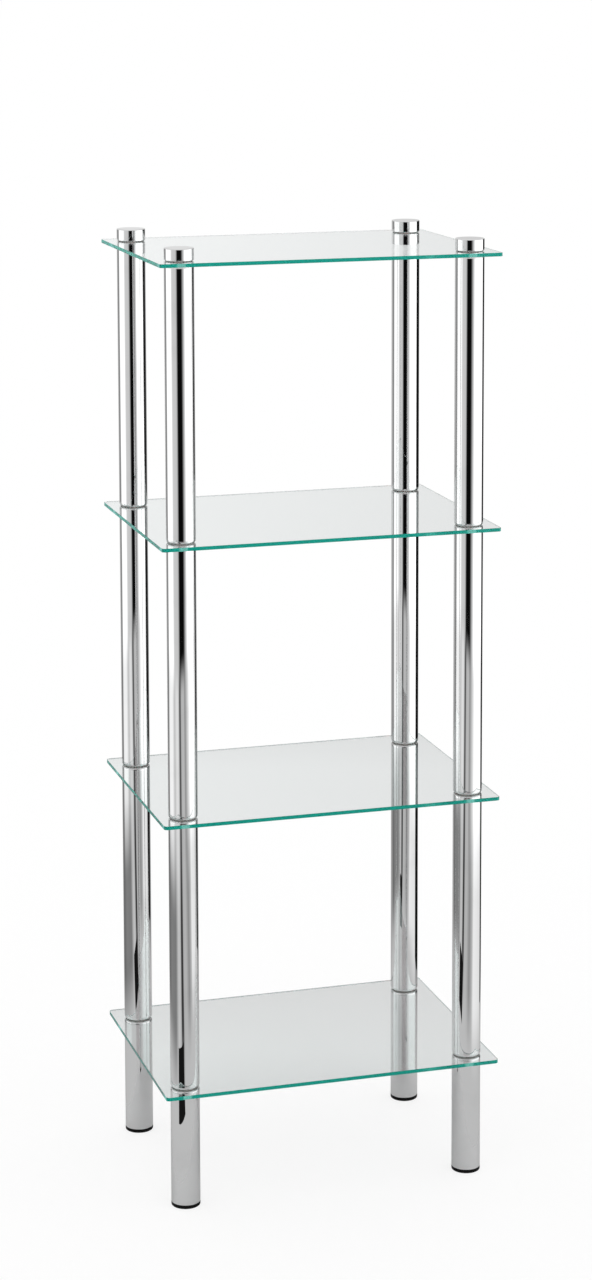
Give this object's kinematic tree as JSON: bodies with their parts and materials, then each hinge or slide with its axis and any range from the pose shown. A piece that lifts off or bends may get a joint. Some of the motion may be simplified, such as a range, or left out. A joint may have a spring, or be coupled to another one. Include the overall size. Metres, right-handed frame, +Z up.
{
  "type": "glass shelving unit",
  "caption": "Tall free-standing bathroom rack with flat clear glass shelves clamped between chromed tube posts, round caps on top and black feet below.",
  "frame": {"origin": "on the floor, in the middle of the unit", "axes": "+Z up along the posts, +X along the width of the shelves, +Y to the back"},
  "size_m": [0.382, 0.278, 1.056],
  "materials": {
    "chrome": "polished chrome plate",
    "glass": "clear float glass with polished edges",
    "foot_rubber": "satin black",
    "grommet_rubber": "matt milky plastic",
    "steel": "zinc plated"
  },
  "bodies": {
    "root": {"cap_back_left": "chrome", "cap_back_right": "chrome", "cap_front_left": "chrome", "cap_front_right": "chrome", "foot_back_left": "foot_rubber", "foot_back_right": "foot_rubber", "foot_front_left": "foot_rubber", "foot_front_right": "foot_rubber", "glass_shelf_1": "glass", "glass_shelf_2": "glass", "glass_shelf_3": "glass", "glass_shelf_4": "glass", "grommet_1_back_left": "grommet_rubber", "grommet_1_back_right": "grommet_rubber", "grommet_1_front_left": "grommet_rubber", "grommet_1_front_right": "grommet_rubber", "grommet_2_back_left": "grommet_rubber", "grommet_2_back_right": "grommet_rubber", "grommet_2_front_left": "grommet_rubber", "grommet_2_front_right": "grommet_rubber", "grommet_3_back_left": "grommet_rubber", "grommet_3_back_right": "grommet_rubber", "grommet_3_front_left": "grommet_rubber", "grommet_3_front_right": "grommet_rubber", "grommet_4_back_left": "grommet_rubber", "grommet_4_back_right": "grommet_rubber", "grommet_4_front_left": "grommet_rubber", "grommet_4_front_right": "grommet_rubber", "leg_back_left": "chrome", "leg_back_right": "chrome", "leg_front_left": "chrome", "leg_front_right": "chrome", "post_1_back_left": "chrome", "post_1_back_right": "chrome", "post_1_front_left": "chrome", "post_1_front_right": "chrome", "post_2_back_left": "chrome", "post_2_back_right": "chrome", "post_2_front_left": "chrome", "post_2_front_right": "chrome", "post_3_back_left": "chrome", "post_3_back_right": "chrome", "post_3_front_left": "chrome", "post_3_front_right": "chrome", "stud_1_back_left": "steel", "stud_1_back_right": "steel", "stud_1_front_left": "steel", "stud_1_front_right": "steel", "stud_2_back_left": "steel", "stud_2_back_right": "steel", "stud_2_front_left": "steel", "stud_2_front_right": "steel", "stud_3_back_left": "steel", "stud_3_back_right": "steel", "stud_3_front_left": "steel", "stud_3_front_right": "steel", "stud_4_back_left": "steel", "stud_4_back_right": "steel", "stud_4_front_left": "steel", "stud_4_front_right": "steel"}
  },
  "joints": []
}
